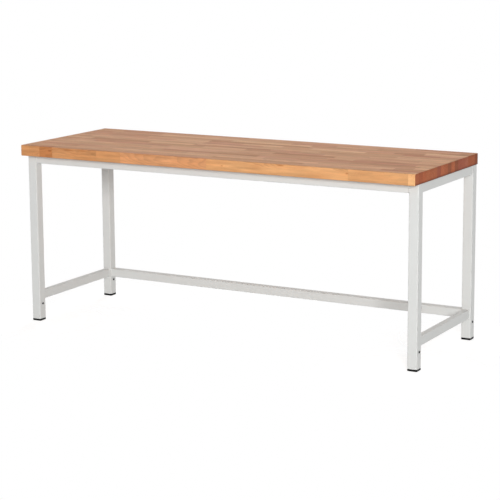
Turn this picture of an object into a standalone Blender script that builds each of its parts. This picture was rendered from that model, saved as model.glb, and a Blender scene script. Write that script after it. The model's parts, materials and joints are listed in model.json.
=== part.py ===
"""Height-adjustable workbench: a solid beech top on a welded steel frame with four clamped telescopic feet.

Metres, +Z up, front towards -Y. The origin is on the floor under the middle of the top, and the
bench stands at its lowest setting. Each foot tube slides in its leg, and a slot in it passes a clamp
screw that turns in a nut plate inside the tube.
"""

import math

import bmesh
import bpy
from mathutils import Matrix, Vector

# Worktop
TOP_LENGTH = 2.000
TOP_DEPTH = 0.700
TOP_THICKNESS = 0.050
TOP_EDGE_ROUND = 0.002
TOP_CORNER_ROUND = 0.004

# Heights above the floor at the lowest setting, and how far the feet run out
LOWEST_HEIGHT = 0.850
HEIGHT_TRAVEL = 0.200
LOWER_RAIL_HEIGHT_ABOVE_FLOOR = 0.100
CLAMP_HEIGHT = 0.082

# How far the top stands out past the frame
SIDE_OVERHANG = 0.004
FRONT_OVERHANG = 0.049
REAR_OVERHANG = 0.001

# Square and rectangular steel tube
LEG_SIZE = 0.045
LEG_WALL = 0.002
LEG_CORNER = 0.004
TOP_RAIL_HEIGHT = 0.040
TOP_RAIL_WIDTH = 0.040
SIDE_RAIL_HEIGHT = 0.040
SIDE_RAIL_WIDTH = 0.030
REAR_RAIL_HEIGHT = 0.040
REAR_RAIL_WIDTH = 0.040
RAIL_WALL = 0.002
RAIL_CORNER = 0.0035

# Telescopic feet
FOOT_TUBE_PLAY = 0.0005
FOOT_TUBE_WALL = 0.002
FOOT_TUBE_CORNER = 0.003
FOOT_TUBE_OVERLAP = 0.190
CAP_HEIGHT = 0.0093
CAP_PROUD = 0.0005
CAP_EDGE = 0.0012
CAP_CORNER = 0.005
CAP_PLUG_HEIGHT = 0.028
CAP_PLUG_CORE_GAP = 0.002
CAP_PLUG_WALL = 0.003
CAP_FIN_COUNT = 4
CAP_FIN_THICKNESS = 0.0014
CAP_FIN_TAPER = 0.0008

# Clamp screw and its nut plate
CLAMP_DIAMETER = 0.006
CLAMP_LENGTH = 0.016
CLAMP_POINT = 0.0006
CLAMP_HEAD_DIAMETER = 0.0105
CLAMP_HEAD_HEIGHT = 0.0033
CLAMP_HEAD_RIM = 0.0005
CLAMP_HEAD_FLAT = 0.0060
CLAMP_SOCKET_ACROSS_FLATS = 0.004
CLAMP_SOCKET_DEPTH = 0.0021
NUT_PLATE_HEIGHT = 0.020
NUT_PLATE_THICKNESS = 0.006
NUT_PLATE_CORNER = 0.002

# Lugs that hold the top, and their wood screws
LUGS_PER_RAIL = 3
LUG_FROM_FRAME_END = 0.150
LUG_WIDTH = 0.040
LUG_REACH = 0.040
LUG_THICKNESS = 0.004
LUG_CORNER = 0.003
LUG_SLOT_LENGTH = 0.014
WOOD_SCREW_DIAMETER = 0.006
WOOD_SCREW_LENGTH = 0.040
WOOD_SCREW_POINT = 0.005
WOOD_SCREW_POINT_DIAMETER = 0.0015
WOOD_SCREW_HEAD_ACROSS_FLATS = 0.010
WOOD_SCREW_HEAD_HEIGHT = 0.0045
WOOD_SCREW_HEAD_CHAMFER = 0.0005
WOOD_SCREW_FLANGE_DIAMETER = 0.014
WOOD_SCREW_FLANGE_THICKNESS = 0.0012

# Clearances: between pieces that touch, and round a screw in its hole
SEAT_GAP = 0.0003
HOLE_PLAY = 0.0003

# Faces on a quarter round, on a whole turn of a screw and on the dome of its head
ARC_STEPS = 3
EDGE_STEPS = 3
TURN_STEPS = 24
DOME_STEPS = 4

# A slot's end radius is this much less than half its width, so that no side has zero length
SLOT_END_FLAT = 0.000003

# Faces that meet at more than this are shaded with a sharp edge
SHARP_ANGLE = math.radians(40)

# What follows from the sizes above
FRAME_LENGTH = TOP_LENGTH - 2 * SIDE_OVERHANG
FRAME_DEPTH = TOP_DEPTH - FRONT_OVERHANG - REAR_OVERHANG
FRAME_MIDDLE_Y = (FRONT_OVERHANG - REAR_OVERHANG) / 2
TOP_UNDERSIDE = LOWEST_HEIGHT - TOP_THICKNESS
FRAME_TOP = TOP_UNDERSIDE - SEAT_GAP
LEG_FOOT = CAP_HEIGHT + SEAT_GAP
LEG_X = (FRAME_LENGTH - LEG_SIZE) / 2
LEG_SPREAD_Y = (FRAME_DEPTH - LEG_SIZE) / 2
LEG_BORE = LEG_SIZE - 2 * LEG_WALL
FOOT_TUBE_SIZE = LEG_BORE - 2 * FOOT_TUBE_PLAY
FOOT_TUBE_BORE = FOOT_TUBE_SIZE - 2 * FOOT_TUBE_WALL
FOOT_TUBE_BORE_CORNER = max(FOOT_TUBE_CORNER - FOOT_TUBE_WALL, FOOT_TUBE_WALL / 2)
FOOT_TUBE_LENGTH = HEIGHT_TRAVEL + FOOT_TUBE_OVERLAP
CLAMP_HOLE_RADIUS = CLAMP_DIAMETER / 2 + HOLE_PLAY
LUG_SLOT_WIDTH = WOOD_SCREW_DIAMETER + 2 * HOLE_PLAY
LUG_UNDERSIDE = FRAME_TOP - LUG_THICKNESS
WOOD_SCREW_SEAT = LUG_UNDERSIDE - SEAT_GAP

# The side of the middle that each corner and each long rail lies on
CORNERS = {
    "front_left": (-1, -1),
    "front_right": (1, -1),
    "rear_left": (-1, 1),
    "rear_right": (1, 1),
}
SIDES = {"left": -1, "right": 1}
ENDS = {"front": -1, "rear": 1}

# Turns that lay a piece built along +Z down along +X or +Y
ALONG_X = Matrix.Rotation(math.radians(90), 4, "Y")
ALONG_Y = Matrix.Rotation(math.radians(-90), 4, "X")


def leg_y(end):
    return FRAME_MIDDLE_Y + end * LEG_SPREAD_Y


def clear_scene():
    for obj in list(bpy.data.objects):
        bpy.data.objects.remove(obj)


def material(name, srgb, roughness, metallic):
    """A Principled material whose colour is given as 0 to 255 screen values."""
    made = bpy.data.materials.new(name)
    made.use_nodes = True
    shader = made.node_tree.nodes["Principled BSDF"]
    linear = [((v / 255 + 0.055) / 1.055) ** 2.4 for v in srgb]
    shader.inputs["Base Color"].default_value = (*linear, 1)
    shader.inputs["Roughness"].default_value = roughness
    shader.inputs["Metallic"].default_value = metallic
    made.diffuse_color = (*linear, 1)
    return made


def beech():
    return material("beech", (206, 152, 112), 0.55, 0)


def grey_powder_coat():
    return material("grey_powder_coat", (214, 214, 211), 0.45, 0)


def zinc_plate():
    return material("zinc_plate", (186, 189, 192), 0.35, 1)


def black_plastic():
    return material("black_plastic", (22, 22, 23), 0.6, 0)


def black_steel():
    return material("black_steel", (38, 38, 40), 0.4, 1)


def rounded_outline(width, depth, radius):
    """Points round a rectangle with rounded corners, anticlockwise, centred on zero."""
    points = []
    for corner, (side_x, side_y) in enumerate(((1, 1), (-1, 1), (-1, -1), (1, -1))):
        centre = Vector((side_x * (width / 2 - radius), side_y * (depth / 2 - radius)))
        for step in range(ARC_STEPS + 1):
            angle = math.radians(90) * (corner + step / ARC_STEPS)
            points.append(centre + radius * Vector((math.cos(angle), math.sin(angle))))
    return points


def circle_outline(radius, count, first_angle=0.0):
    """Points round a circle, anticlockwise."""
    angles = [first_angle + math.tau * i / count for i in range(count)]
    return [radius * Vector((math.cos(a), math.sin(a))) for a in angles]


def round_hole_outline(radius):
    """A circle with as many points as a rounded outline, half a step round so that the two line up."""
    count = 4 * (ARC_STEPS + 1)
    return circle_outline(radius, count, math.pi / count)


def hexagon_outline(across_flats, count):
    """A hexagon with as many points as a circle that it joins."""
    sixth = math.radians(60)
    points = []
    for i in range(count):
        angle = math.tau * i / count
        reach = across_flats / 2 / math.cos(angle % sixth - sixth / 2)
        points.append(reach * Vector((math.cos(angle), math.sin(angle))))
    return points


def loft(name, sections, ring=False):
    """A mesh through outlines of equal count, each given with its height.

    A ring joins its last outline to its first, and anything else is capped at both ends.
    """
    shape = bmesh.new()
    loops = [[shape.verts.new((p.x, p.y, z)) for p in points] for points, z in sections]
    pairs = list(zip(loops, loops[1:]))
    if ring:
        pairs.append((loops[-1], loops[0]))
    else:
        shape.faces.new(reversed(loops[0]))
        shape.faces.new(loops[-1])
    for lower, upper in pairs:
        for i, start in enumerate(lower):
            j = (i + 1) % len(lower)
            shape.faces.new((start, lower[j], upper[j], upper[i]))
    mesh = bpy.data.meshes.new(name)
    shape.to_mesh(mesh)
    shape.free()
    return mesh


def prism(name, outline, length):
    return loft(name, [(outline, 0.0), (outline, length)])


def sleeve(name, outside, inside, length):
    """A prism with a hole right through it."""
    sections = [(outside, 0.0), (outside, length), (inside, length), (inside, 0.0)]
    return loft(name, sections, ring=True)


def rounded_tube(name, width, depth, wall, corner, length):
    """Rectangular tube along +Z, open at both ends."""
    outside = rounded_outline(width, depth, corner)
    inside = rounded_outline(width - 2 * wall, depth - 2 * wall, max(corner - wall, wall / 2))
    return sleeve(name, outside, inside, length)


def turned(mesh, matrix):
    mesh.transform(matrix)
    return mesh


def cut(mesh, cutters):
    """The mesh less each cutter mesh, by exact Booleans."""
    blank = bpy.data.objects.new(mesh.name, mesh)
    bpy.context.scene.collection.objects.link(blank)
    helpers = [blank]
    for cutter_mesh in cutters:
        cutter = bpy.data.objects.new("cutter", cutter_mesh)
        bpy.context.scene.collection.objects.link(cutter)
        cutter.hide_render = True
        cutter.display_type = "WIRE"
        helpers.append(cutter)
        boolean = blank.modifiers.new("cut", "BOOLEAN")
        boolean.operation = "DIFFERENCE"
        boolean.solver = "EXACT"
        boolean.object = cutter
    graph = bpy.context.evaluated_depsgraph_get()
    result = bpy.data.meshes.new_from_object(blank.evaluated_get(graph))
    result.name = mesh.name
    for helper in helpers:
        bpy.data.objects.remove(helper)
    return result


def place(name, mesh, finish, location=(0, 0, 0), parent=None):
    """A named object of this mesh, smooth on its round faces, with one material."""
    obj = bpy.data.objects.new(name, mesh)
    bpy.context.scene.collection.objects.link(obj)
    mesh.shade_smooth()
    mesh.set_sharp_from_angle(angle=SHARP_ANGLE)
    if not mesh.materials:
        mesh.materials.append(finish)
    obj.location = location
    obj.parent = parent
    return obj


def joint_empty(name, location):
    """An empty on a joint's axis, which carries the pieces that move on it."""
    empty = bpy.data.objects.new(name, None)
    empty.empty_display_size = 0.03
    empty.location = location
    bpy.context.scene.collection.objects.link(empty)
    return empty


def lug_places():
    """(name, x, end) of each fixing lug, along the front and the rear top rail."""
    reach = FRAME_LENGTH / 2 - LUG_FROM_FRAME_END
    places = []
    for end_name, end in ENDS.items():
        for i in range(LUGS_PER_RAIL):
            x = -reach + 2 * reach * i / (LUGS_PER_RAIL - 1)
            places.append((f"{end_name}_{i + 1}", x, end))
    return places


def lug_y(end):
    """The middle of a lug, which reaches inwards from its rail."""
    return leg_y(end) - end * (TOP_RAIL_WIDTH / 2 + SEAT_GAP + LUG_REACH / 2)


def worktop_mesh():
    """A board with rounded edges, drilled from below for the wood screws."""
    sections = []
    for step in range(EDGE_STEPS + 1):
        angle = math.radians(90) * step / EDGE_STEPS
        inset = TOP_EDGE_ROUND * (1 - math.sin(angle))
        rise = TOP_EDGE_ROUND * (1 - math.cos(angle))
        outline = rounded_outline(
            TOP_LENGTH - 2 * inset, TOP_DEPTH - 2 * inset, TOP_CORNER_ROUND - inset
        )
        sections.append((outline, rise))
    sections += [(outline, TOP_THICKNESS - rise) for outline, rise in reversed(sections)]
    board = loft("worktop", sections)
    hole = circle_outline(WOOD_SCREW_DIAMETER / 2 + HOLE_PLAY, TURN_STEPS)
    depth = WOOD_SCREW_SEAT + WOOD_SCREW_LENGTH + SEAT_GAP - TOP_UNDERSIDE
    below = TOP_THICKNESS
    drills = []
    for _, x, end in lug_places():
        drill = prism("drill", hole, below + depth)
        drills.append(turned(drill, Matrix.Translation((x, lug_y(end), -below))))
    return cut(board, drills)


def leg_mesh():
    """Square tube with the clamp screw's hole through its +X wall. Its origin is on the floor."""
    tube = rounded_tube("leg", LEG_SIZE, LEG_SIZE, LEG_WALL, LEG_CORNER, FRAME_TOP - LEG_FOOT)
    turned(tube, Matrix.Translation((0, 0, LEG_FOOT)))
    drill = prism("drill", round_hole_outline(CLAMP_HOLE_RADIUS), LEG_SIZE)
    turned(drill, Matrix.Translation((0, 0, CLAMP_HEIGHT)) @ ALONG_X)
    return cut(tube, [drill])


def foot_tube_mesh():
    """The inner tube, with the slot that the clamp screw runs in. Its origin is on the floor."""
    tube = rounded_tube(
        "foot_tube",
        FOOT_TUBE_SIZE,
        FOOT_TUBE_SIZE,
        FOOT_TUBE_WALL,
        FOOT_TUBE_CORNER,
        FOOT_TUBE_LENGTH,
    )
    turned(tube, Matrix.Translation((0, 0, LEG_FOOT)))
    slot_length = HEIGHT_TRAVEL + 2 * CLAMP_HOLE_RADIUS
    end_round = CLAMP_HOLE_RADIUS - SLOT_END_FLAT
    outline = rounded_outline(slot_length, 2 * CLAMP_HOLE_RADIUS, end_round)
    slot = prism("slot", outline, FOOT_TUBE_SIZE)
    middle = CLAMP_HEIGHT + HEIGHT_TRAVEL / 2
    turned(slot, Matrix.Translation((0, 0, middle)) @ ALONG_X)
    return cut(tube, [slot])


def foot_cap_mesh():
    """A moulded cap: a thick sole as wide as the leg, and a hollow finned plug inside the foot tube."""
    sole = LEG_SIZE + 2 * CAP_PROUD
    plug = FOOT_TUBE_BORE - 2 * SEAT_GAP
    core = FOOT_TUBE_BORE - 2 * CAP_PLUG_CORE_GAP
    pocket = core - 2 * CAP_PLUG_WALL
    plug_corner = FOOT_TUBE_BORE_CORNER
    top = CAP_HEIGHT + CAP_PLUG_HEIGHT
    sections = [
        (rounded_outline(sole - 2 * CAP_EDGE, sole - 2 * CAP_EDGE, CAP_CORNER - CAP_EDGE), 0.0),
        (rounded_outline(sole, sole, CAP_CORNER), CAP_EDGE),
        (rounded_outline(sole, sole, CAP_CORNER), CAP_HEIGHT - CAP_EDGE / 2),
        (rounded_outline(sole - CAP_EDGE, sole - CAP_EDGE, CAP_CORNER - CAP_EDGE / 2), CAP_HEIGHT),
        (rounded_outline(core, core, plug_corner), CAP_HEIGHT),
    ]
    pitch = CAP_PLUG_HEIGHT / (CAP_FIN_COUNT + 0.5)
    for fin in range(CAP_FIN_COUNT):
        root = CAP_HEIGHT + pitch * (fin + 0.5)
        tip = root + CAP_FIN_THICKNESS
        slim = plug - 2 * CAP_FIN_TAPER
        sections += [
            (rounded_outline(core, core, plug_corner), root),
            (rounded_outline(plug, plug, plug_corner), root),
            (rounded_outline(slim, slim, plug_corner), tip),
            (rounded_outline(core, core, plug_corner), tip),
        ]
    sections += [
        (rounded_outline(core, core, plug_corner), top - CAP_EDGE),
        (rounded_outline(core - 2 * CAP_EDGE, core - 2 * CAP_EDGE, plug_corner), top),
        (rounded_outline(pocket, pocket, plug_corner), top),
        (rounded_outline(pocket, pocket, plug_corner), CAP_HEIGHT),
    ]
    return loft("foot_cap", sections)


def clamp_screw_mesh():
    """A button-head screw along +X, with a hexagon socket. Its origin is under its head."""
    shank = CLAMP_DIAMETER / 2
    head = CLAMP_HEAD_DIAMETER / 2
    flat = CLAMP_HEAD_FLAT / 2
    socket = hexagon_outline(CLAMP_SOCKET_ACROSS_FLATS, TURN_STEPS)
    sections = [
        (circle_outline(shank - CLAMP_POINT, TURN_STEPS), -CLAMP_LENGTH),
        (circle_outline(shank, TURN_STEPS), CLAMP_POINT - CLAMP_LENGTH),
        (circle_outline(shank, TURN_STEPS), 0.0),
        (circle_outline(head, TURN_STEPS), 0.0),
    ]
    for step in range(DOME_STEPS + 1):
        angle = math.radians(90) * step / DOME_STEPS
        radius = flat + (head - flat) * math.cos(angle)
        height = CLAMP_HEAD_RIM + (CLAMP_HEAD_HEIGHT - CLAMP_HEAD_RIM) * math.sin(angle)
        sections.append((circle_outline(radius, TURN_STEPS), height))
    sections += [
        (socket, CLAMP_HEAD_HEIGHT),
        (socket, CLAMP_HEAD_HEIGHT - CLAMP_SOCKET_DEPTH),
    ]
    return turned(loft("clamp_screw", sections), ALONG_X)


def nut_plate_mesh():
    """A plate as wide as the flat of the foot tube's bore, so that it can't turn, with a hole."""
    width = FOOT_TUBE_BORE - 2 * FOOT_TUBE_BORE_CORNER
    outside = rounded_outline(NUT_PLATE_HEIGHT, width, NUT_PLATE_CORNER)
    inside = round_hole_outline(CLAMP_HOLE_RADIUS)
    return turned(sleeve("nut_plate", outside, inside, NUT_PLATE_THICKNESS), ALONG_X)


def lug_mesh():
    """Flat bar with a slot across the bench, so that the wood can move with the seasons."""
    outside = rounded_outline(LUG_WIDTH, LUG_REACH, LUG_CORNER)
    end_round = LUG_SLOT_WIDTH / 2 - SLOT_END_FLAT
    inside = rounded_outline(LUG_SLOT_WIDTH, LUG_SLOT_LENGTH, end_round)
    return sleeve("fixing_lug", outside, inside, LUG_THICKNESS)


def wood_screw_mesh():
    """A hexagon-head wood screw that points up. Its origin is on the face of its flange."""
    shank = WOOD_SCREW_DIAMETER / 2
    flange = WOOD_SCREW_FLANGE_DIAMETER / 2
    hexagon = hexagon_outline(WOOD_SCREW_HEAD_ACROSS_FLATS, TURN_STEPS)
    small = WOOD_SCREW_HEAD_ACROSS_FLATS - 2 * WOOD_SCREW_HEAD_CHAMFER
    sections = [
        (hexagon_outline(small, TURN_STEPS), -WOOD_SCREW_HEAD_HEIGHT),
        (hexagon, WOOD_SCREW_HEAD_CHAMFER - WOOD_SCREW_HEAD_HEIGHT),
        (hexagon, -WOOD_SCREW_FLANGE_THICKNESS),
        (circle_outline(flange, TURN_STEPS), -WOOD_SCREW_FLANGE_THICKNESS),
        (circle_outline(flange, TURN_STEPS), 0.0),
        (circle_outline(shank, TURN_STEPS), 0.0),
        (circle_outline(shank, TURN_STEPS), WOOD_SCREW_LENGTH - WOOD_SCREW_POINT),
        (circle_outline(WOOD_SCREW_POINT_DIAMETER / 2, TURN_STEPS), WOOD_SCREW_LENGTH),
    ]
    return loft("wood_screw", sections)


def add_worktop(finish):
    place("worktop", worktop_mesh(), finish, (0, 0, TOP_UNDERSIDE))


def add_legs(finish):
    mesh = leg_mesh()
    for corner, (side, end) in CORNERS.items():
        place(f"{corner}_leg", mesh, finish, (side * LEG_X, leg_y(end), 0))


def rail_along_x(name, height, width, z, end, finish):
    """A tube between two legs at the front or the rear, centred on the legs."""
    length = FRAME_LENGTH - 2 * LEG_SIZE - 2 * SEAT_GAP
    mesh = rounded_tube(name, height, width, RAIL_WALL, RAIL_CORNER, length)
    place(name, turned(mesh, ALONG_X), finish, (-length / 2, leg_y(end), z))


def rail_along_y(name, height, width, z, side, finish):
    """A tube between a front and a rear leg, centred on the legs."""
    length = FRAME_DEPTH - 2 * LEG_SIZE - 2 * SEAT_GAP
    mesh = rounded_tube(name, width, height, RAIL_WALL, RAIL_CORNER, length)
    start = FRAME_MIDDLE_Y - length / 2
    place(name, turned(mesh, ALONG_Y), finish, (side * LEG_X, start, z))


def add_rails(finish):
    top_z = FRAME_TOP - TOP_RAIL_HEIGHT / 2
    for end_name, end in ENDS.items():
        name = f"{end_name}_top_rail"
        rail_along_x(name, TOP_RAIL_HEIGHT, TOP_RAIL_WIDTH, top_z, end, finish)
    rear_z = LOWER_RAIL_HEIGHT_ABOVE_FLOOR + REAR_RAIL_HEIGHT / 2
    rail_along_x("rear_lower_rail", REAR_RAIL_HEIGHT, REAR_RAIL_WIDTH, rear_z, 1, finish)
    side_z = LOWER_RAIL_HEIGHT_ABOVE_FLOOR + SIDE_RAIL_HEIGHT / 2
    for side_name, side in SIDES.items():
        name = f"{side_name}_top_rail"
        rail_along_y(name, TOP_RAIL_HEIGHT, TOP_RAIL_WIDTH, top_z, side, finish)
        name = f"{side_name}_lower_rail"
        rail_along_y(name, SIDE_RAIL_HEIGHT, SIDE_RAIL_WIDTH, side_z, side, finish)


def add_feet(tube_finish, cap_finish):
    tube = foot_tube_mesh()
    cap = foot_cap_mesh()
    for corner, (side, end) in CORNERS.items():
        slide = joint_empty(f"{corner}_foot_slide", (side * LEG_X, leg_y(end), 0))
        place(f"{corner}_foot_tube", tube, tube_finish, parent=slide)
        place(f"{corner}_foot_cap", cap, cap_finish, parent=slide)


def add_clamps(screw_finish, nut_finish):
    screw = clamp_screw_mesh()
    nut = nut_plate_mesh()
    head_seat = LEG_SIZE / 2 + SEAT_GAP
    nut_back = FOOT_TUBE_BORE / 2 - SEAT_GAP - NUT_PLATE_THICKNESS
    for corner, (side, end) in CORNERS.items():
        x = side * LEG_X
        axis = joint_empty(f"{corner}_clamp_axis", (x + head_seat, leg_y(end), CLAMP_HEIGHT))
        place(f"{corner}_clamp_screw", screw, screw_finish, parent=axis)
        place(f"{corner}_nut_plate", nut, nut_finish, (x + nut_back, leg_y(end), CLAMP_HEIGHT))


def add_fixings(lug_finish, screw_finish):
    lug = lug_mesh()
    screw = wood_screw_mesh()
    for name, x, end in lug_places():
        place(f"{name}_fixing_lug", lug, lug_finish, (x, lug_y(end), LUG_UNDERSIDE))
        place(f"{name}_wood_screw", screw, screw_finish, (x, lug_y(end), WOOD_SCREW_SEAT))


def main():
    clear_scene()
    paint = grey_powder_coat()
    zinc = zinc_plate()
    add_worktop(beech())
    add_legs(paint)
    add_rails(paint)
    add_feet(zinc, black_plastic())
    add_clamps(black_steel(), zinc)
    add_fixings(paint, zinc)


main()
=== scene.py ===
"""Looks of the height-adjustable workbench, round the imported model.

Metres, +Z up, front towards -Y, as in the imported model. The pieces of the model keep their shape
and place and get their materials here, and the weld beads are added.
"""

import json
import math
import random

import bmesh
import bpy
from mathutils import Matrix, Vector


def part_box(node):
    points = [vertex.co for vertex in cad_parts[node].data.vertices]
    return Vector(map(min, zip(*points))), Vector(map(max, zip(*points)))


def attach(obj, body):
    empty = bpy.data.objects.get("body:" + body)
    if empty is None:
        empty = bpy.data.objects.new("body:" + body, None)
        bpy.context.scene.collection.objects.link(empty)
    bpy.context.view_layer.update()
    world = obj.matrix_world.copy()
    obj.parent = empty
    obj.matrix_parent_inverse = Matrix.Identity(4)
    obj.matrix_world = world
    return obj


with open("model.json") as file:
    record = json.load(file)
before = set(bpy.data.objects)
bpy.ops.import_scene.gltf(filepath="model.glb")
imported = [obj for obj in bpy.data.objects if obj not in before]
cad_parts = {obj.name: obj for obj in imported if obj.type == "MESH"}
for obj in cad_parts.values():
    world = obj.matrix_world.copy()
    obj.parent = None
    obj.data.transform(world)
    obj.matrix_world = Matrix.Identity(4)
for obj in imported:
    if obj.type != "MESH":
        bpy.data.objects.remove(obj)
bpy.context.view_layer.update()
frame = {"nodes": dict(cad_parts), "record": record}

# The photograph is this many pixels wide and high
PHOTO_PIXELS = 500

# Camera, fitted to the lines of the photograph. It stands this far from the middle of the bench and
# this high, and from a level view of the middle it is turned, pitched down and rolled.
CAMERA_AZIMUTH = math.radians(29.3514)
CAMERA_DISTANCE = 7.4989
CAMERA_HEIGHT = 1.8822
CAMERA_TURN = math.radians(-0.1953)
CAMERA_PITCH = math.radians(9.9508)
CAMERA_ROLL = math.radians(-0.3443)
CAMERA_REACH = 200
FOCAL_PIXELS = 1657.1
VIEW_RISE_PIXELS = -40
SENSOR_WIDTH = 36.0

# Light: a big soft lamp behind the camera, a weak one behind the bench, and the white room
WORLD_LIGHT = 0.36
KEY_LIGHT = 0.75
KEY_AZIMUTH = math.radians(31)
KEY_ELEVATION = math.radians(14.5)
KEY_DISTANCE = 14.0
KEY_SIZE = 3.4
FILL_LIGHT = 0.42
FILL_AZIMUTH = math.radians(205)
FILL_ELEVATION = math.radians(12)
FILL_DISTANCE = 6.0
FILL_SIZE = 2.4
LAMP_AIM = Vector((0.3, 0.0, 0.5))

# Floor, which shows fully within the first distance of a foot and not at all beyond the second
FLOOR_SHOWN = 0.12
FLOOR_FADED = 0.45
FLOOR_REACH = 60.0
FLOOR_GLOW = 0.70
FLOOR_SEEN_GREY = 0.52
FLOOR_BOUNCE_GREY = 0.8

# Screen colours of the board. A tint multiplies the colour that is there.
PALE_BEECH = (240, 190, 135)
DEEP_BEECH = (176, 104, 53)
ROSY_BEECH = (212, 142, 106)
FLUSHED_BEECH = (218, 136, 78)
RAY_BROWN = (150, 92, 58)
END_OIL = (212, 150, 100)
END_TINT = (200, 155, 146)
END_MAUVE_TINT = (190, 147, 156)
MARK_TINT = (222, 205, 190)
# The edge tint is painted shade, which darkens the eased edges
EDGE_SHADE_TINT = (118, 66, 44)

# Screen colours of the other finishes
COAT_GREY = (207, 208, 206)
COAT_LIGHTER_GREY = (214, 215, 213)
COAT_SPECK = (168, 168, 165)
ZINC_BLUISH = (169, 172, 177)
ZINC_STRAW = (182, 182, 178)
ZINC_RUBBED = (140, 142, 146)
PLASTIC_BLACK = (7, 7, 8)
PLASTIC_DUSTY = (22, 22, 21)
STEEL_BLACK = (38, 38, 41)
STEEL_WORN = (70, 69, 68)

# Most of a soft noise from 0 to 1 lies between these values
MOST_OF_NOISE = (0.3, 0.7)

# Board of edge-glued beech staves, in lengths that butt end to end. There is one joint in each step
# along a stave, between these shares of the step. The steps are counted from beyond the left end,
# at least this many longest steps from the middle.
STAVES = 18
STAVE_SHORTEST = 0.18
STAVE_LONGEST = 0.48
STEPS_LEFT_OF_MIDDLE = 3.0
JOINT_EARLIEST = 0.12
JOINT_LATEST = 0.88
FAR_FROM_JOINT = 1.0
GLUE_LINE_HALF = 0.00022
GLUE_SHADE = 0.62
FACE_MARGIN = 0.02

# What stands out in the photograph: the joints along the front stave with a tone for each length,
# small darker marks on the front as (x, z, length, height), and the staves of the right-hand end.
# The number of the front stave's first length sets its grain and that of the lengths after it.
FRONT_STAVE_JOINTS = (-0.893, -0.822, -0.577, -0.446, 0.005, 0.695, 0.968)
FRONT_STAVE_TONES = (0.36, 0.14, 0.36, 0.42, 0.48, 0.56, 0.54, 0.80)
FRONT_FIRST_PIECE = 30.0
FRONT_MARKS = (
    (-0.835, 0.832, 0.014, 0.006),
    (-0.735, 0.842, 0.050, 0.005),
    (-0.655, 0.843, 0.034, 0.004),
    (0.085, 0.824, 0.008, 0.004),
    (0.375, 0.844, 0.024, 0.005),
    (0.690, 0.832, 0.010, 0.006),
)
MARK_CORE = 0.3
END_DARK_STAVES = (9, 11, 17)
END_LIGHT_STAVES = (2, 7, 10)
END_MAUVE_STAVES = (6, 12, 13, 14)
END_DARKER_BY = 0.32
END_LIGHTER_BY = 0.14

# Where in the log a length was sawn from, its lean against the pith as a slope, and its rings. The
# late wood of a ring darkens over the first range of the ring's width and ends within the second.
PITH_NEAREST = 0.015
PITH_FARTHEST = 0.090
PITH_HIGHEST = 0.080
MOST_LEAN = 0.06
RING_NARROWEST = 0.0022
RING_WIDEST = 0.0040
RING_WAVE = 0.020
LATE_WOOD_RISE = (0.35, 0.92)
LATE_WOOD_FALL = (0.94, 1.0)

# How fine the board's noises are, per metre along, across and through it. The years go along the
# radius, the rays along the board, the radius and the turn, and the end's rays along the turn and
# the radius.
WAVE_FINENESS = (5, 16, 16)
STREAK_FINENESS = (5, 62, 62)
FIBRE_FINENESS = (24, 1500, 1500)
FIGURE_FINENESS = (11, 30, 52)
FLUSH_FINENESS = (8, 24, 40)
PORE_FINENESS = (40, 3600, 3600)
YEAR_FINENESS = 85
RAY_FINENESS = (420, 95, 2600)
END_RAY_FINENESS = (1500, 40, 0)

# How the wood's features shade its colour: value from, value to, factor from, factor to
STREAK_SHADES = (0.30, 0.70, 0.86, 1.13)
FIBRE_SHADES = (0.30, 0.70, 0.95, 1.05)
FIGURE_SHADES = (0.35, 0.65, 0.92, 1.07)
YEAR_SHADES = (0.25, 0.75, 0.86, 1.12)
LATE_WOOD_SHADES = (0, 1, 1.05, 0.90)
END_LATE_WOOD_SHADES = (0, 1, 1.07, 0.84)
END_RAY_SHADES = (0.35, 0.65, 0.92, 1.08)
END_PORE_SHADES = (0.62, 0.72, 1.0, 0.72)
END_TONES = (0, 1, 0.75, 1.15)

# How far its features blend another colour in: value from, value to, share from, share to
ROSY_SHARES = (0.45, 1.0, 0.0, 0.5)
FLUSH_SHARES = (0.42, 0.66, 0.0, 0.18)
RAY_SHARES = (0.66, 0.76, 0.0, 1.0)
RAY_BROWN_SHARE = 0.55
END_MAUVE_SHARES = (0.55, 0.65, 0.0, 1.0)
END_OIL_SHARE = 0.6

# The board's edges are eased over the first width, and painted shade darkens the wood up to the
# second, standing in for the shade on the rounded edges. The easing shows from the first nearness
# to its two faces on, and fully from the second on. Both count for less along the front than
# elsewhere, and the ends' top edge gets less of the painted shade and their foot more.
EASED_EDGE = 0.0022
SOFT_EDGE = 0.010
EASED_FROM = 0.0004
EASED_FULLY = -0.0006
EASED_PAINTED_SHADE = 0.6
BESIDE_PAINTED_SHADE = 0.2
FRONT_EDGE_SHARE = 0.25
OTHER_EDGE_SHARE = 1.25
END_TOP_LESS = 0.65
END_FOOT_MORE = 0.35

# Each of these only makes a random draw differ from the others
STAVE_DRAW = (3.7, 1.3)
JOINT_DRAW = 9.1
TONE_DRAW = 2.5
LOG_DRAW = 0.5
LEAN_DRAW = 7.5
FLUSH_DRAW = 7.7

# A tone is the sum of two draws with these shares, so that middle tones come more often
TONE_SHARES = (0.65, 0.35)

# In the noises' own units, how far they move from one length and one stave to the next
PIECE_SHIFT = 3.1
STAVE_SHIFT = 5.3

# Whole numbers in sockets count as the same within this
NUMBER_SLACK = 0.1

# How much of the red, green and blue of the board's colour its top has, which is rosier and
# paler: painted sheen, standing in for the white light that the oiled top reflects
TOP_SHEEN_TINT = (1.00, 1.02, 1.19)

# A face counts as turned a certain way from the first cosine on, and fully from the second on
TURNED_FROM = 0.75
TURNED_FULLY = 0.95

# How fine the noises of the zinc-plated tubes are, per metre across, across and along them
DRAWN_FINENESS = (2200, 2200, 14)
CLOUD_FINENESS = (60, 60, 14)
RUB_FINENESS = (700, 700, 6)

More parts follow.
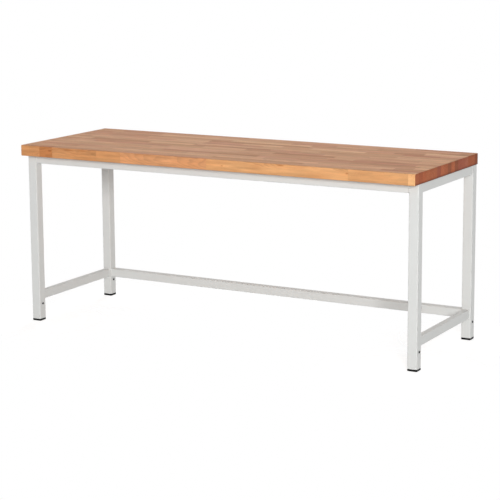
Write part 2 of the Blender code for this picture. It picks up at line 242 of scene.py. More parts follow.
# Welds where a rail meets a leg and where a lug meets its rail. The lumps, an open bead's size at
# its end, the bulge and the ripples' depth are shares of the bead's size, and the ripples lag by a
# share of one ripple at the crown.
WELD_SIZE = 0.0024
WELD_LUMPS = (0.92, 1.08)
WELD_END_SIZE = 0.35
WELD_END_RIPPLES = 2
WELD_BULGE = 0.13
WELD_RIPPLE = 0.0022
WELD_RIPPLE_DEPTH = 0.07
WELD_RIPPLE_LAG = 0.18
WELD_STEPS_PER_RIPPLE = 4
WELD_SINK = 0.00015
WELD_ROOT = 0.0004
WELD_ARC_POINTS = 6
LEG_CORNER = 0.004
RAIL_CORNER = 0.0035
CORNER_STEPS = 6
LUG_WELD_INSET = 0.004
RAIL_WELD_SEED = 11
LUG_WELD_SEED = 12

CORNERS = ("front_left", "front_right", "rear_left", "rear_right")
RAILS = (
    "front_top",
    "rear_top",
    "left_top",
    "right_top",
    "rear_lower",
    "left_lower",
    "right_lower",
)


def linear(screen_colour):
    """Screen values of 0 to 255 as a linear colour."""
    channels = []
    for value in screen_colour:
        share = value / 255
        channels.append(share / 12.92 if share <= 0.04045 else ((share + 0.055) / 1.055) ** 2.4)
    return (*channels, 1.0)


def grey(level):
    """A linear grey, which is black at 0 and white at 1."""
    return (level, level, level, 1.0)


class Nodes:
    """Adds nodes to a material's tree. Each call that makes a value gives back its output socket. The
    functions that build materials call one of these n.
    """

    def __init__(self, name):
        self.material = bpy.data.materials.new(name)
        self.material.use_nodes = True
        self.tree = self.material.node_tree
        self.shader = self.tree.nodes["Principled BSDF"]

    def add(self, kind, **settings):
        """A new node of a kind, with its settings."""
        node = self.tree.nodes.new(kind)
        for key, value in settings.items():
            setattr(node, key, value)
        return node

    def feed(self, socket, value):
        """Links a socket, or sets the value on the node's own input."""
        if isinstance(value, bpy.types.NodeSocket):
            self.tree.links.new(value, socket)
        else:
            socket.default_value = value

    def place(self):
        """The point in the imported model's frame, in metres."""
        return self.add("ShaderNodeTexCoord").outputs["Object"]

    def facing(self):
        """The surface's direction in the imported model's frame."""
        return self.add("ShaderNodeTexCoord").outputs["Normal"]

    def split(self, vector):
        """The three numbers of a vector or colour."""
        node = self.add("ShaderNodeSeparateXYZ")
        self.feed(node.inputs[0], vector)
        return node.outputs

    def join(self, x, y, z):
        """The vector of three numbers."""
        node = self.add("ShaderNodeCombineXYZ")
        for socket, value in zip(node.inputs, (x, y, z)):
            self.feed(socket, value)
        return node.outputs[0]

    def math(self, operation, *values, clamp=False):
        """What Blender's Math node makes of one to three numbers."""
        node = self.add("ShaderNodeMath", operation=operation, use_clamp=clamp)
        for socket, value in zip(node.inputs, values):
            self.feed(socket, value)
        return node.outputs[0]

    def plus(self, a, b):
        return self.math("ADD", a, b)

    def minus(self, a, b):
        return self.math("SUBTRACT", a, b)

    def times(self, a, b):
        return self.math("MULTIPLY", a, b)

    def size(self, a):
        return self.math("ABSOLUTE", a)

    def least(self, a, b):
        return self.math("MINIMUM", a, b)

    def most(self, a, b):
        return self.math("MAXIMUM", a, b)

    def hypotenuse(self, a, b):
        return self.math("SQRT", self.plus(self.times(a, a), self.times(b, b)))

    def stretched(self, vector, scales, offset=None):
        """The vector times one scale for each axis, and moved if there is an offset."""
        node = self.add("ShaderNodeVectorMath", operation="MULTIPLY")
        self.feed(node.inputs[0], vector)
        self.feed(node.inputs[1], scales)
        if offset is None:
            return node.outputs[0]
        moved = self.add("ShaderNodeVectorMath", operation="ADD")
        self.feed(moved.inputs[0], node.outputs[0])
        self.feed(moved.inputs[1], offset)
        return moved.outputs[0]

    def noise(self, vector, scale=1.0, detail=2.0, roughness=0.5):
        """Soft noise from 0 to 1."""
        node = self.add("ShaderNodeTexNoise")
        for key, value in (
            ("Vector", vector),
            ("Scale", scale),
            ("Detail", detail),
            ("Roughness", roughness),
        ):
            self.feed(node.inputs[key], value)
        return node.outputs["Fac"]

    def chance(self, x, y, z):
        """Three random numbers from 0 to 1 for each different set of three."""
        node = self.add("ShaderNodeTexWhiteNoise", noise_dimensions="3D")
        self.feed(node.inputs["Vector"], self.join(x, y, z))
        return self.split(node.outputs["Color"])

    def remap(self, value, low, high, to_low=0.0, to_high=1.0, smooth=False):
        """A value between low and high, clamped, onto another range."""
        kind = "SMOOTHSTEP" if smooth else "LINEAR"
        node = self.add("ShaderNodeMapRange", interpolation_type=kind)
        for socket, number in zip(node.inputs, (value, low, high, to_low, to_high)):
            self.feed(socket, number)
        return node.outputs[0]

    def spread(self, noise, to_low=0.0, to_high=1.0):
        """A soft noise, spread over a range."""
        return self.remap(noise, *MOST_OF_NOISE, to_low, to_high)

    def blend(self, share, a, b, mode="MIX"):
        """Two colours mixed by a share from 0 to 1."""
        node = self.add("ShaderNodeMix", data_type="RGBA", blend_type=mode)
        self.feed(node.inputs[0], share)
        self.feed(node.inputs[6], a)
        self.feed(node.inputs[7], b)
        return node.outputs[2]

    def tinted(self, colour, tint):
        """A colour multiplied by another."""
        return self.blend(1.0, colour, tint, "MULTIPLY")

    def either(self, share, a, b):
        """The number a, or b where share is 1."""
        node = self.add("ShaderNodeMix", data_type="FLOAT")
        self.feed(node.inputs[0], share)
        self.feed(node.inputs[2], a)
        self.feed(node.inputs[3], b)
        return node.outputs[0]

    def shade(self, colour, factor):
        """A colour made lighter or darker by a factor."""
        node = self.add("ShaderNodeVectorMath", operation="SCALE")
        self.feed(node.inputs[0], colour)
        self.feed(node.inputs["Scale"], factor)
        return node.outputs[0]

    def vary(self, colour, value, low, high, factor_low, factor_high):
        """A colour shaded by a factor that follows a value between low and high."""
        return self.shade(colour, self.remap(value, low, high, factor_low, factor_high))

    def bump(self, height, distance, under=None):
        """A bump whose height of 0 to 1 is this distance deep, over another bump if given."""
        node = self.add("ShaderNodeBump")
        self.feed(node.inputs["Strength"], 1.0)
        self.feed(node.inputs["Distance"], distance)
        self.feed(node.inputs["Height"], height)
        if under is not None:
            self.feed(node.inputs["Normal"], under)
        return node.outputs[0]

    def finish(self, **inputs):
        """Feeds the shader's inputs, named with underscores for spaces."""
        for key, value in inputs.items():
            self.feed(self.shader.inputs[key.replace("_", " ")], value)
        return self.material


def random_lengths(n, x, stave):
    """The number of the length at x in a stave with random joints, and how near a joint is."""
    stave_chance = n.chance(stave, *STAVE_DRAW)
    step_length = n.remap(stave_chance[0], 0, 1, STAVE_SHORTEST, STAVE_LONGEST)
    steps_to_middle = n.plus(stave_chance[1], STEPS_LEFT_OF_MIDDLE)
    from_start = n.plus(x, n.times(steps_to_middle, STAVE_LONGEST))
    along = n.math("DIVIDE", from_start, step_length)
    step = n.math("FLOOR", along)
    joint_chance = n.chance(stave, step, JOINT_DRAW)
    joint_at = n.remap(joint_chance[0], 0, 1, JOINT_EARLIEST, JOINT_LATEST)
    share = n.math("FRACT", along)
    piece = n.plus(step, n.math("GREATER_THAN", share, joint_at))
    gap = n.times(n.size(n.minus(share, joint_at)), step_length)
    return piece, gap


def front_lengths(n, x):
    """The same for the front stave, whose joints and tones follow the photograph, and its tone."""
    piece = FRONT_FIRST_PIECE
    gap = FAR_FROM_JOINT
    tone = FRONT_STAVE_TONES[0]
    for joint, before, after in zip(FRONT_STAVE_JOINTS, FRONT_STAVE_TONES, FRONT_STAVE_TONES[1:]):
        passed = n.math("GREATER_THAN", x, joint)
        piece = n.plus(passed, piece)
        tone = n.plus(n.times(passed, after - before), tone)
        gap = n.least(n.size(n.minus(x, joint)), gap)
    return piece, gap, tone


def is_listed(n, value, numbers):
    """1 where the value is one of the whole numbers, else 0."""
    total = 0.0
    for number in numbers:
        total = n.plus(n.math("COMPARE", value, float(number), NUMBER_SLACK), total)
    return total


def front_marks(n, x, z):
    """How much of a darker mark there is at a point of the front face."""
    total = 0.0
    for mark_x, mark_z, length, height in FRONT_MARKS:
        off_x = n.times(n.minus(x, mark_x), 1 / length)
        off_z = n.times(n.minus(z, mark_z), 1 / height)
        off = n.hypotenuse(off_x, off_z)
        total = n.most(n.remap(off, MARK_CORE, 1.0, 1.0, 0.0, smooth=True), total)
    return total


class Board:
    """The worktop's wood. Apart from its box and depth, which are in metres, its attributes are sockets
    that say what each point of the board is.
    """

    def __init__(self, n):
        self.n = n
        self.low, self.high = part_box("worktop")
        self.depth = self.high.y - self.low.y
        self.point = n.place()
        self.x, self.y, self.z = n.split(self.point)
        self.above_middle = n.minus(self.z, (self.low.z + self.high.z) / 2)
        self.facing = n.split(n.facing())
        self.is_end = n.remap(n.size(self.facing[0]), TURNED_FROM, TURNED_FULLY)
        self.find_length()
        self.find_place_in_log()
        self.find_grain()

    def find_length(self):
        """A point's stave, which length of it, the share of the way across, its tone and its glue."""
        n = self.n
        # The board's front and rear faces lie at the outer staves' sides, where there is no glue
        across = n.times(n.plus(self.y, self.depth / 2), STAVES / self.depth)
        across = n.least(n.most(across, FACE_MARGIN), STAVES - FACE_MARGIN)
        self.stave = n.math("FLOOR", across)
        self.share = n.math("FRACT", across)
        own_piece, own_gap = random_lengths(n, self.x, self.stave)
        front_piece, front_gap, front_tone = front_lengths(n, self.x)
        is_front = n.math("LESS_THAN", self.stave, 0.5)
        self.piece = n.either(is_front, own_piece, front_piece)
        end_gap = n.either(is_front, own_gap, front_gap)
        side_gap = n.times(n.least(self.share, n.minus(1.0, self.share)), self.depth / STAVES)
        self.glue = n.remap(n.least(end_gap, side_gap), 0, GLUE_LINE_HALF * 2, 1.0, 0.0)
        chance = n.chance(self.stave, self.piece, TONE_DRAW)
        own_tone = n.plus(n.times(chance[0], TONE_SHARES[0]), n.times(chance[1], TONE_SHARES[1]))
        self.tone = n.either(is_front, own_tone, front_tone)

    def find_place_in_log(self):
        """A point's distance from the pith and its place round it. Each length is sawn from another
        place in the log, a little out of line with the pith.
        """
        n = self.n
        self.log_chance = n.chance(self.stave, self.piece, LOG_DRAW)
        self.lean_chance = n.chance(self.stave, self.piece, LEAN_DRAW)
        side = n.math("SIGN", n.minus(self.log_chance[0], 0.5))
        pith_y = n.times(side, n.remap(self.log_chance[1], 0, 1, PITH_NEAREST, PITH_FARTHEST))
        pith_z = n.remap(self.log_chance[2], 0, 1, -PITH_HIGHEST, PITH_HIGHEST)
        lean_y = n.remap(self.lean_chance[0], 0, 1, -MOST_LEAN, MOST_LEAN)
        lean_z = n.remap(self.lean_chance[1], 0, 1, -MOST_LEAN, MOST_LEAN)
        own_y = n.times(n.minus(self.share, 0.5), self.depth / STAVES)
        self.shift = n.join(n.times(self.piece, PIECE_SHIFT), n.times(self.stave, STAVE_SHIFT), 0.0)
        wave = n.noise(n.stretched(self.point, WAVE_FINENESS, self.shift), detail=3)
        to_y = n.minus(n.plus(own_y, n.times(self.x, lean_y)), pith_y)
        to_z = n.minus(n.plus(self.above_middle, n.times(self.x, lean_z)), pith_z)
        self.radius = n.plus(n.hypotenuse(to_y, to_z), n.times(n.minus(wave, 0.5), RING_WAVE))
        self.turn = n.times(n.math("ARCTAN2", to_y, to_z), self.radius)

    def find_grain(self):
        """Growth rings, each darkest at its outer side, then streaks and fibres along the board, and
        the rays: thin plates that stand along the radius, so each face cuts them in its own way.
        """
        n = self.n
        ring_width = n.remap(self.lean_chance[2], 0, 1, RING_NARROWEST, RING_WIDEST)
        ring_share = n.math("FRACT", n.math("DIVIDE", self.radius, ring_width))
        self.late_wood = n.times(
            n.remap(ring_share, *LATE_WOOD_RISE, smooth=True),
            n.remap(ring_share, *LATE_WOOD_FALL, 1.0, 0.0, smooth=True),
        )
        self.years = n.noise(n.join(n.times(self.radius, YEAR_FINENESS), self.stave, self.piece))
        streaks = n.stretched(self.point, STREAK_FINENESS, self.shift)
        self.streaks = n.noise(streaks, detail=3, roughness=0.6)
        self.fibres = n.noise(n.stretched(self.point, FIBRE_FINENESS, self.shift))
        figure = n.stretched(self.point, FIGURE_FINENESS, self.shift)
        self.figure = n.noise(figure, detail=3, roughness=0.55)
        flush_shift = n.join(FLUSH_DRAW, self.stave, self.piece)
        self.flush = n.noise(n.stretched(self.point, FLUSH_FINENESS, flush_shift))
        plates = n.stretched(n.join(self.x, self.radius, self.turn), RAY_FINENESS)
        self.rays = n.remap(n.noise(plates, detail=1), *RAY_SHARES, smooth=True)

    def long_grain(self):
        """The colour of the faces along the board."""
        n = self.n
        colour = n.blend(self.tone, linear(DEEP_BEECH), linear(PALE_BEECH))
        rosy = n.remap(self.lean_chance[2], *ROSY_SHARES)
        colour = n.blend(rosy, colour, linear(ROSY_BEECH))
        colour = n.vary(colour, self.years, *YEAR_SHADES)
        colour = n.vary(colour, self.streaks, *STREAK_SHADES)
        colour = n.vary(colour, self.figure, *FIGURE_SHADES)
        colour = n.blend(n.remap(self.flush, *FLUSH_SHARES), colour, linear(FLUSHED_BEECH))
        colour = n.vary(colour, self.late_wood, *LATE_WOOD_SHADES)
        colour = n.vary(colour, self.fibres, *FIBRE_SHADES)
        colour = n.blend(n.times(self.rays, RAY_BROWN_SHARE), colour, linear(RAY_BROWN))
        # Painted sheen: the top's faces get the paler, rosier tint
        top_sheen_share = n.remap(self.facing[2], TURNED_FROM, TURNED_FULLY)
        colour = n.blend(top_sheen_share, colour, n.stretched(colour, TOP_SHEEN_TINT))
        front = n.remap(self.facing[1], -TURNED_FULLY, -TURNED_FROM, 1.0, 0.0)
        marks = n.times(front_marks(n, self.x, self.z), front)
        return n.blend(marks, colour, n.tinted(colour, linear(MARK_TINT)))

    def end_grain(self, colour):
        """The colour of the ends. They drink more oil, so they are darker and redder."""
        n = self.n
        is_right = n.math("GREATER_THAN", self.facing[0], 0.5)
        own_mauve = n.remap(self.log_chance[0], *END_MAUVE_SHARES)
        mauve = n.either(is_right, own_mauve, is_listed(n, self.stave, END_MAUVE_STAVES))
        dark = n.times(is_listed(n, self.stave, END_DARK_STAVES), END_DARKER_BY)
        light = n.times(is_listed(n, self.stave, END_LIGHT_STAVES), END_LIGHTER_BY)
        seen_tone = n.plus(n.minus(1.0, dark), light)
        own_tone = n.remap(self.log_chance[1], *END_TONES)
        tint = n.blend(mauve, linear(END_TINT), linear(END_MAUVE_TINT))
        colour = n.tinted(n.blend(END_OIL_SHARE, colour, linear(END_OIL)), tint)
        colour = n.shade(colour, n.either(is_right, own_tone, seen_tone))
        colour = n.vary(colour, self.late_wood, *END_LATE_WOOD_SHADES)
        rays = n.noise(n.stretched(n.join(self.turn, self.radius, 0.0), END_RAY_FINENESS))
        colour = n.vary(colour, rays, *END_RAY_SHADES)
        pores = n.noise(n.stretched(self.point, PORE_FINENESS), detail=0)
        return n.vary(colour, pores, *END_PORE_SHADES)

    def painted_edge_shade(self):
        """How much painted shade darkens the edges, from 0 to 1, standing in for the shade on their
        rounding: least along the front and most along the foot of the end grain, whose upper edge
        is hardly darker.
        """
        n = self.n
        half_thickness = (self.high.z - self.low.z) / 2
        from_end = n.minus(self.high.x, n.size(self.x))
        edge_x = n.minus(self.high.x - EASED_EDGE, n.size(self.x))
        edge_y = n.minus(self.high.y - EASED_EDGE, n.size(self.y))
        edge_z = n.minus(half_thickness - EASED_EDGE, n.size(self.above_middle))
        most = n.most(n.most(edge_x, edge_y), edge_z)
        least = n.least(n.least(edge_x, edge_y), edge_z)
        # A point near an edge is near two faces, so the middle one of the three distances is small
        middle = n.minus(n.plus(n.plus(edge_x, edge_y), edge_z), n.plus(most, least))
        eased = n.remap(middle, EASED_FROM, EASED_FULLY, 0.0, EASED_PAINTED_SHADE)
        near_edge = n.plus(n.remap(middle, 0.0, SOFT_EDGE, BESIDE_PAINTED_SHADE, 0.0), eased)
        front, foot, top = self.low.y, self.low.z, self.high.z
        along_front = (front + EASED_EDGE, front + SOFT_EDGE)
        weight = n.remap(self.y, *along_front, FRONT_EDGE_SHARE, OTHER_EDGE_SHARE)
        beside_end = n.remap(from_end, EASED_EDGE, SOFT_EDGE, 1.0, 0.0)
        end_top = n.remap(self.z, top - SOFT_EDGE, top - EASED_EDGE, 0.0, END_TOP_LESS)
        darkness = n.times(near_edge, weight)
        darkness = n.times(darkness, n.minus(1.0, n.times(beside_end, end_top)))
        end_foot = n.remap(self.z, foot + EASED_EDGE, foot + SOFT_EDGE, END_FOOT_MORE, 0.0)
        return n.math("ADD", darkness, n.times(self.is_end, end_foot), clamp=True)


def beech():
    """Oiled beech: staves of different tone, growth rings, rays, fibres, end grain and glue lines,
    with painted shade on the edges and painted sheen on the top.
    """
    n = Nodes("beech")
    board = Board(n)
    colour = board.long_grain()
    colour = n.blend(board.is_end, colour, board.end_grain(colour))
    # Painted shade on the eased edges and on the foot of the ends
    colour = n.blend(board.painted_edge_shade(), colour, n.tinted(colour, linear(EDGE_SHADE_TINT)))
    colour = n.vary(colour, board.glue, 0, 1, 1.0, GLUE_SHADE)
    open_grain = n.plus(n.times(board.is_end, 0.12), n.times(board.rays, 0.06))
    roughness = n.plus(n.spread(board.streaks, 0.60, 0.50), open_grain)
    furrows = n.most(board.glue, n.times(board.rays, 0.3))
    bump = n.bump(board.fibres, distance=0.000012)
    bump = n.bump(board.late_wood, distance=0.000015, under=bump)
    bump = n.bump(n.minus(1.0, furrows), distance=0.00002, under=bump)
    return n.finish(
        Base_Color=colour,
        Roughness=roughness,
        Specular_IOR_Level=0.28,
        Normal=bump,
    )


def powder_coat():
    """Light grey powder coat with its fine orange peel."""
    n = Nodes("grey_powder_coat")
    point = n.place()
    peel = n.noise(point, scale=620, detail=1)
    drift = n.noise(point, scale=7, detail=3)
    speck = n.remap(n.noise(point, scale=1500, detail=0), 0.72, 0.80)
    colour = n.blend(drift, linear(COAT_GREY), linear(COAT_LIGHTER_GREY))
    colour = n.blend(n.times(speck, 0.25), colour, linear(COAT_SPECK))
    roughness = n.plus(n.spread(drift, 0.36, 0.44), n.times(peel, 0.05))
    bump = n.bump(peel, distance=0.00002)
    bump = n.bump(n.noise(point, scale=90), distance=0.00006, under=bump)
    return n.finish(
        Base_Color=colour,
        Roughness=roughness,
        Specular_IOR_Level=0.45,
        Normal=bump,
    )


def zinc_plate():
    """Bright zinc on drawn tube: streaks along the tube, faint blue and straw, and sliding marks."""
    n = Nodes("zinc_plated_steel")
    point = n.place()
    drawn = n.noise(n.stretched(point, DRAWN_FINENESS), detail=3)
    cloud = n.noise(n.stretched(point, CLOUD_FINENESS), detail=3)
    rub = n.remap(n.noise(n.stretched(point, RUB_FINENESS)), 0.62, 0.74)
    colour = n.blend(n.spread(cloud), linear(ZINC_BLUISH), linear(ZINC_STRAW))
    colour = n.shade(colour, n.spread(drawn, 0.95, 1.04))
    colour = n.blend(n.times(rub, 0.25), colour, linear(ZINC_RUBBED))
    roughness = n.plus(n.spread(drawn, 0.27, 0.35), n.times(rub, 0.12))
    bump = n.bump(drawn, distance=0.00001)
    return n.finish(Base_Color=colour, Metallic=1.0, Roughness=roughness, Normal=bump)


def black_plastic():
    """Moulded matt black plastic with a fine spark-eroded grain, dusty in patches."""
    n = Nodes("black_plastic")
    point = n.place()
    grain = n.noise(point, scale=1900)
    dust = n.remap(n.noise(point, scale=240, detail=3), 0.45, 0.80)
    colour = n.blend(dust, linear(PLASTIC_BLACK), linear(PLASTIC_DUSTY))
    roughness = n.spread(grain, 0.48, 0.62)
    bump = n.bump(grain, distance=0.00005)
    return n.finish(
        Base_Color=colour,
        Roughness=roughness,
        Specular_IOR_Level=0.14,
        Normal=bump,
    )


def black_steel():
    """Black oxide on steel, worn brighter in patches."""
    n = Nodes("black_steel")
    point = n.place()
    wear = n.remap(n.noise(point, scale=700, detail=3), 0.62, 0.80)
    grain = n.noise(point, scale=4200, detail=1)
    colour = n.blend(wear, linear(STEEL_BLACK), linear(STEEL_WORN))
    roughness = n.spread(grain, 0.34, 0.50)
    bump = n.bump(grain, distance=0.00002)
    return n.finish(Base_Color=colour, Metallic=0.85, Roughness=roughness, Normal=bump)


def dress_nodes():
    """Gives each node of the model the material of its slot, and gives back the materials."""
    makers = {
        "beech": beech,
        "grey_powder_coat": powder_coat,
        "zinc_plated_steel": zinc_plate,
        "black_plastic": black_plastic,
        "black_steel": black_steel,
    }
    finishes = {slot: make() for slot, make in makers.items()}
    for part in frame["record"]["subparts"]:
        obj = frame["nodes"][part["node"]]
        if not obj.material_slots:
            obj.data.materials.append(None)
        for holder in obj.material_slots:
            holder.material = finishes[part["material_slot"]]
    return finishes


def leg_roundness(offset, half_leg):
    """How far a leg's surface falls away this far from the middle of its face.

    A face whose half width is endless is flat.
    """
    into_round = abs(offset) - (half_leg - LEG_CORNER)
    if into_round <= 0:
        return 0.0
    return LEG_CORNER - math.sqrt(max(LEG_CORNER**2 - into_round**2, 0.0))


def rail_outline(width, height, open_top):
    """Evenly spaced (point, outward direction) round a rail's section, from its top left side down."""
    half = Vector((width / 2 - RAIL_CORNER, height / 2 - RAIL_CORNER))
    corners = [(-1, -1), (1, -1)] if open_top else [(-1, -1), (1, -1), (1, 1), (-1, 1)]
    rough = []
    if open_top:
        rough.append((Vector((-width / 2, half.y)), Vector((-1, 0))))
    for index, (side, rise) in enumerate(corners):
        centre = Vector((side * half.x, rise * half.y))
        start = math.radians(180 + 90 * index)
        for step in range(CORNER_STEPS + 1):
            angle = start + math.radians(90) * step / CORNER_STEPS
            out = Vector((math.cos(angle), math.sin(angle)))
            rough.append((centre + RAIL_CORNER * out, out))
    if open_top:
        rough.append((Vector((width / 2, half.y)), Vector((1, 0))))
    else:
        rough.append(rough[0])
    return evenly_spaced(rough)


def evenly_spaced(rough):
    """The same path with points a quarter of a ripple apart."""
    lengths = [(b[0] - a[0]).length for a, b in zip(rough, rough[1:])]
    total = sum(lengths)
    count = WELD_STEPS_PER_RIPPLE * round(total / WELD_RIPPLE)
    path = []
    stretch = 0
    passed = 0.0
    for i in range(count + 1):
        want = total * i / count
        while stretch < len(lengths) - 1 and want > passed + lengths[stretch]:
            passed += lengths[stretch]
            stretch += 1
        share = min((want - passed) / lengths[stretch], 1.0) if lengths[stretch] else 0.0
        (start, start_out), (end, end_out) = rough[stretch], rough[stretch + 1]
        path.append((start.lerp(end, share), start_out.lerp(end_out, share).normalized()))
    return path


def straight_path(length):
    """Evenly spaced (point, outward direction) along a straight bead."""
    count = WELD_STEPS_PER_RIPPLE * round(length / WELD_RIPPLE)
    out = Vector((0, 1))
    return [(Vector((length * (i / count - 0.5), 0)), out) for i in range(count + 1)]


def weld_section(point, out, size, phase, half_leg):
    """Points across a bead and round its root, as (away from the leg or plate, away from the rail)."""
    points = []
    for i in range(WELD_ARC_POINTS):
        share = i / (WELD_ARC_POINTS - 1)
        arch = math.sin(math.pi * share)
        ripple = math.sin(math.tau * (phase - WELD_RIPPLE_LAG * arch))
        bulge = size * arch * (WELD_BULGE + WELD_RIPPLE_DEPTH * ripple)
        off_leg = size * share + bulge - WELD_SINK * (1 - share)
        off_rail = size * (1 - share) + bulge - WELD_SINK * share
        off_leg -= leg_roundness((point + out * off_rail).x, half_leg) * (1 - share)
        points.append((off_leg, off_rail))
    points.append((-WELD_ROOT - leg_roundness(point.x, half_leg), -WELD_ROOT))
    return points


def end_size(index, count):
    """The share of its full size that an open bead has at one of its sections."""
    grown = min(index, count - 1 - index) / (WELD_END_RIPPLES * WELD_STEPS_PER_RIPPLE)
    return min(1.0, WELD_END_SIZE + (1 - WELD_END_SIZE) * grown)


def skin_loops(shape, loops, closed):
    """Faces between each loop of points and the next, and over the two ends of an open bead."""
    pairs = list(zip(loops, loops[1:]))
    if closed:
        pairs.append((loops[-1], loops[0]))
    for first, second in pairs:
        for i, start in enumerate(first):
            j = (i + 1) % len(first)
            shape.faces.new((start, first[j], second[j], second[i]))
    if not closed:
        shape.faces.new(loops[0])
        shape.faces.new(reversed(loops[-1]))
    bmesh.ops.recalc_face_normals(shape, faces=shape.faces)


def weld_bead(name, path, closed, half_leg, matrix, chance):
    """A rippled fillet along a path, which starts and ends at the same point if it is closed.

    In the matrix's frame the path lies on Z = 0, on the face of a leg or plate, and what is welded to
    that face stands on it along +Z.
    """
    if closed:
        path.pop()
    shape = bmesh.new()
    loops = []
    lumps = [chance.uniform(*WELD_LUMPS) for _ in range(len(path) // WELD_STEPS_PER_RIPPLE + 2)]
    for i, (point, out) in enumerate(path):
        size = WELD_SIZE * lumps[i // WELD_STEPS_PER_RIPPLE]
        if not closed:
            size *= end_size(i, len(path))
        section = weld_section(point, out, size, i / WELD_STEPS_PER_RIPPLE, half_leg)
        loop = []
        for off_leg, off_rail in section:
            place = point + out * off_rail
            loop.append(shape.verts.new((place.x, place.y, off_leg)))
        loops.append(loop)
    skin_loops(shape, loops, closed)
    shape.transform(matrix)
    mesh = bpy.data.meshes.new(name)
    shape.to_mesh(mesh)
    shape.free()
    mesh.shade_smooth()
    return mesh


def add_piece(name, mesh, material, body):
    """Adds a mesh to the model, with its material and the body it rides."""
    obj = bpy.data.objects.new(name, mesh)
    bpy.context.scene.collection.objects.link(obj)
    mesh.materials.append(material)
    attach(obj, body)


def axes_at(place, x_axis, y_axis, z_axis):
    """The matrix that puts the origin at a place and turns X, Y and Z into these directions."""
    turn = Matrix((x_axis, y_axis, z_axis)).transposed().to_4x4()
    return Matrix.Translation(place) @ turn


def rail_end(rail, end):
    """Where a rail meets a leg: the name of that side, the section's width, and the face's matrix.

    The end is -1 for the left or front one and 1 for the right or rear one.
    """
    if rail.startswith(("left", "right")):
        along, across = 1, 0
        side = "front" if end < 0 else "rear"
        leg = f"{side}_left_leg"
    else:
        along, across = 0, 1
        side = "left" if end < 0 else "right"
        leg = f"front_{side}_leg"
    low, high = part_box(f"{rail}_rail")
    leg_low, leg_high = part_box(leg)
    place = (low + high) / 2
    place[along] = leg_high[along] if end < 0 else leg_low[along]
    out = Vector((0, 0, 0))
    out[along] = -end
    up = Vector((0, 0, 1))
    return side, (high - low)[across], axes_at(place, up.cross(out), up, out)


def add_rail_welds(paint):
    """A bead round each rail's two ends. The top rails have none on top, where the board lies."""
    chance = random.Random(RAIL_WELD_SEED)
    leg_low, leg_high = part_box("front_left_leg")
    half_leg = (leg_high.x - leg_low.x) / 2
    for rail in RAILS:
        low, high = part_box(f"{rail}_rail")
        open_top = rail.endswith("top")
        for end in (-1, 1):
            side, width, matrix = rail_end(rail, end)
            name = f"{rail}_rail_weld_{side}"
            path = rail_outline(width, high.z - low.z, open_top)
            mesh = weld_bead(name, path, not open_top, half_leg, matrix, chance)
            add_piece(name, mesh, paint, "bench")


def add_lug_welds(paint):
    """A short bead under each fixing lug, along the inner side of its rail."""
    chance = random.Random(LUG_WELD_SEED)
    down = Vector((0, 0, -1))
    for node in sorted(frame["nodes"]):
        if not node.endswith("_fixing_lug"):
            continue
        at_front = node.startswith("front")
        rail_low, rail_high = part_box("front_top_rail" if at_front else "rear_top_rail")
        face = rail_high.y if at_front else rail_low.y
        inward = Vector((0, 1 if at_front else -1, 0))
        low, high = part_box(node)
        place = Vector(((low.x + high.x) / 2, face, low.z))
        matrix = axes_at(place, inward.cross(down), inward, down)
        path = straight_path(high.x - low.x - 2 * LUG_WELD_INSET)
        name = node.replace("fixing_lug", "lug_weld")
        mesh = weld_bead(name, path, False, math.inf, matrix, chance)
        add_piece(name, mesh, paint, "bench")


def mix_by_ray(tree, seen, unseen, output):
    """Shows one shader to the camera and in reflections, and another to all other rays."""
    path = tree.nodes.new("ShaderNodeLightPath")
    total = path.outputs["Is Camera Ray"]
    for ray in ("Is Glossy Ray", "Is Transmission Ray"):
        adder = tree.nodes.new("ShaderNodeMath")
        adder.operation = "MAXIMUM"
        tree.links.new(total, adder.inputs[0])
        tree.links.new(path.outputs[ray], adder.inputs[1])
        total = adder.outputs[0]
    mix = tree.nodes.new("ShaderNodeMixShader")
    tree.links.new(total, mix.inputs[0])
    tree.links.new(unseen, mix.inputs[1])
    tree.links.new(seen, mix.inputs[2])
    tree.links.new(mix.outputs[0], output)


def make_world():
    """A white backdrop that lights the bench at a plain level."""
    world = bpy.data.worlds.new("white_room")
    bpy.context.scene.world = world
    world.use_nodes = True
    tree = world.node_tree
    light = tree.nodes["Background"]
    light.inputs["Color"].default_value = grey(1)
    light.inputs["Strength"].default_value = WORLD_LIGHT
    backdrop = tree.nodes.new("ShaderNodeBackground")
    backdrop.inputs["Color"].default_value = grey(1)
    backdrop.inputs["Strength"].default_value = 1.0
    surface = tree.nodes["World Output"].inputs["Surface"]
    mix_by_ray(tree, backdrop.outputs[0], light.outputs[0], surface)


def off_nearest_foot(n, point):
    """How far a point of the floor is from the middle of the nearest foot."""
    x, y, _ = n.split(point)
    front_low, front_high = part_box("front_right_leg")
    rear_low, rear_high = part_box("rear_right_leg")
    front = (front_low + front_high) / 2
    rear = (rear_low + rear_high) / 2
    off_middle = n.size(n.minus(y, (front.y + rear.y) / 2))
    off_x = n.minus(n.size(x), front.x)
    off_y = n.minus(off_middle, (rear.y - front.y) / 2)
    return n.hypotenuse(off_x, off_y)


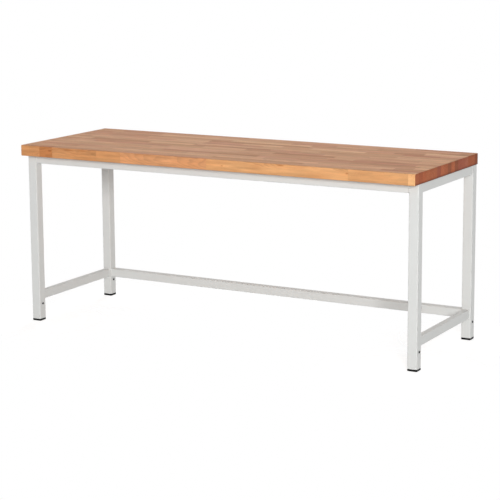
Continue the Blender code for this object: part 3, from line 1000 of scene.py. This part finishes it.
def floor_material():
    """A white floor that takes the shadow round each foot. Further off the white room shows through
    it, so that it doesn't hide a foot that is lowered behind it.
    """
    n = Nodes("white_floor")
    tree = n.tree
    tree.nodes.remove(n.shader)
    glow = n.add("ShaderNodeEmission")
    glow.inputs["Strength"].default_value = FLOOR_GLOW
    shown = n.add("ShaderNodeBsdfDiffuse")
    shown.inputs["Color"].default_value = grey(FLOOR_SEEN_GREY)
    both = n.add("ShaderNodeAddShader")
    n.feed(both.inputs[0], glow.outputs[0])
    n.feed(both.inputs[1], shown.outputs[0])
    clear = n.add("ShaderNodeBsdfTransparent")
    seen = n.add("ShaderNodeMixShader")
    away = off_nearest_foot(n, n.place())
    n.feed(seen.inputs[0], n.remap(away, FLOOR_SHOWN, FLOOR_FADED, smooth=True))
    n.feed(seen.inputs[1], both.outputs[0])
    n.feed(seen.inputs[2], clear.outputs[0])
    bounce = n.add("ShaderNodeBsdfDiffuse")
    bounce.inputs["Color"].default_value = grey(FLOOR_BOUNCE_GREY)
    surface = tree.nodes["Material Output"].inputs["Surface"]
    mix_by_ray(tree, seen.outputs[0], bounce.outputs[0], surface)
    return n.material


def add_floor():
    """A floor in four quarters. Each goes down with its foot, so that a lowered foot stands on it."""
    material = floor_material()
    front_low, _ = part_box("front_left_leg")
    _, rear_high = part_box("rear_left_leg")
    middle = Vector((0, (front_low.y + rear_high.y) / 2, 0))
    for corner in CORNERS:
        end, side = corner.split("_")
        reach = Vector((-1 if side == "left" else 1, -1 if end == "front" else 1, 0)) * FLOOR_REACH
        far = middle + reach
        points = [(middle.x, middle.y), (far.x, middle.y), (far.x, far.y), (middle.x, far.y)]
        if reach.x * reach.y < 0:
            points.reverse()
        mesh = bpy.data.meshes.new(f"floor_{corner}")
        mesh.from_pydata([(x, y, 0) for x, y in points], [], [(0, 1, 2, 3)])
        mesh.materials.append(material)
        quarter = bpy.data.objects.new(f"floor_{corner}", mesh)
        bpy.context.scene.collection.objects.link(quarter)
        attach(quarter, f"{corner}_foot")


def direction(azimuth, elevation):
    """The unit vector from the bench towards an azimuth, counted from the front, and an elevation."""
    return Vector((
        math.sin(azimuth) * math.cos(elevation),
        -math.cos(azimuth) * math.cos(elevation),
        math.sin(elevation),
    ))


def add_lamp(name, light, azimuth, elevation, distance, size):
    """A square soft lamp that lights a facing surface by this share of its colour. It isn't mirrored,
    because the white room is, so the flat top doesn't bleach when seen towards a lamp.
    """
    lamp = bpy.data.lights.new(name, "AREA")
    lamp.shape = "SQUARE"
    lamp.size = size
    lamp.energy = light * math.pi**2 * distance**2
    obj = bpy.data.objects.new(name, lamp)
    bpy.context.scene.collection.objects.link(obj)
    towards = direction(azimuth, elevation)
    obj.location = LAMP_AIM + towards * distance
    obj.rotation_mode = "QUATERNION"
    obj.rotation_quaternion = towards.to_track_quat("Z", "Y")
    obj.visible_camera = False
    obj.visible_glossy = False


def add_camera():
    """The photograph's camera, as fitted to the legs, rails, feet and corners of the board."""
    data = bpy.data.cameras.new("camera")
    camera = bpy.data.objects.new("camera", data)
    bpy.context.scene.collection.objects.link(camera)
    azimuth = CAMERA_AZIMUTH + CAMERA_TURN
    back = direction(azimuth, CAMERA_PITCH)
    level = Vector((math.cos(azimuth), math.sin(azimuth), 0))
    upright = back.cross(level)
    right = level * math.cos(CAMERA_ROLL) + upright * math.sin(CAMERA_ROLL)
    up = upright * math.cos(CAMERA_ROLL) - level * math.sin(CAMERA_ROLL)
    place = direction(CAMERA_AZIMUTH, 0) * CAMERA_DISTANCE
    place.z = CAMERA_HEIGHT
    camera.matrix_world = axes_at(place, right, up, back)
    data.sensor_width = SENSOR_WIDTH
    data.lens = SENSOR_WIDTH * FOCAL_PIXELS / PHOTO_PIXELS
    data.shift_y = VIEW_RISE_PIXELS / PHOTO_PIXELS
    data.clip_end = CAMERA_REACH
    bpy.context.scene.camera = camera


def build():
    """Dresses the model, adds the welds and sets up the room, the lamps and the camera."""
    add_camera()
    finishes = dress_nodes()
    add_rail_welds(finishes["grey_powder_coat"])
    add_lug_welds(finishes["grey_powder_coat"])
    make_world()
    add_floor()
    add_lamp("key", KEY_LIGHT, KEY_AZIMUTH, KEY_ELEVATION, KEY_DISTANCE, KEY_SIZE)
    add_lamp("fill", FILL_LIGHT, FILL_AZIMUTH, FILL_ELEVATION, FILL_DISTANCE, FILL_SIZE)
    bpy.context.scene.view_settings.view_transform = "Standard"


build()
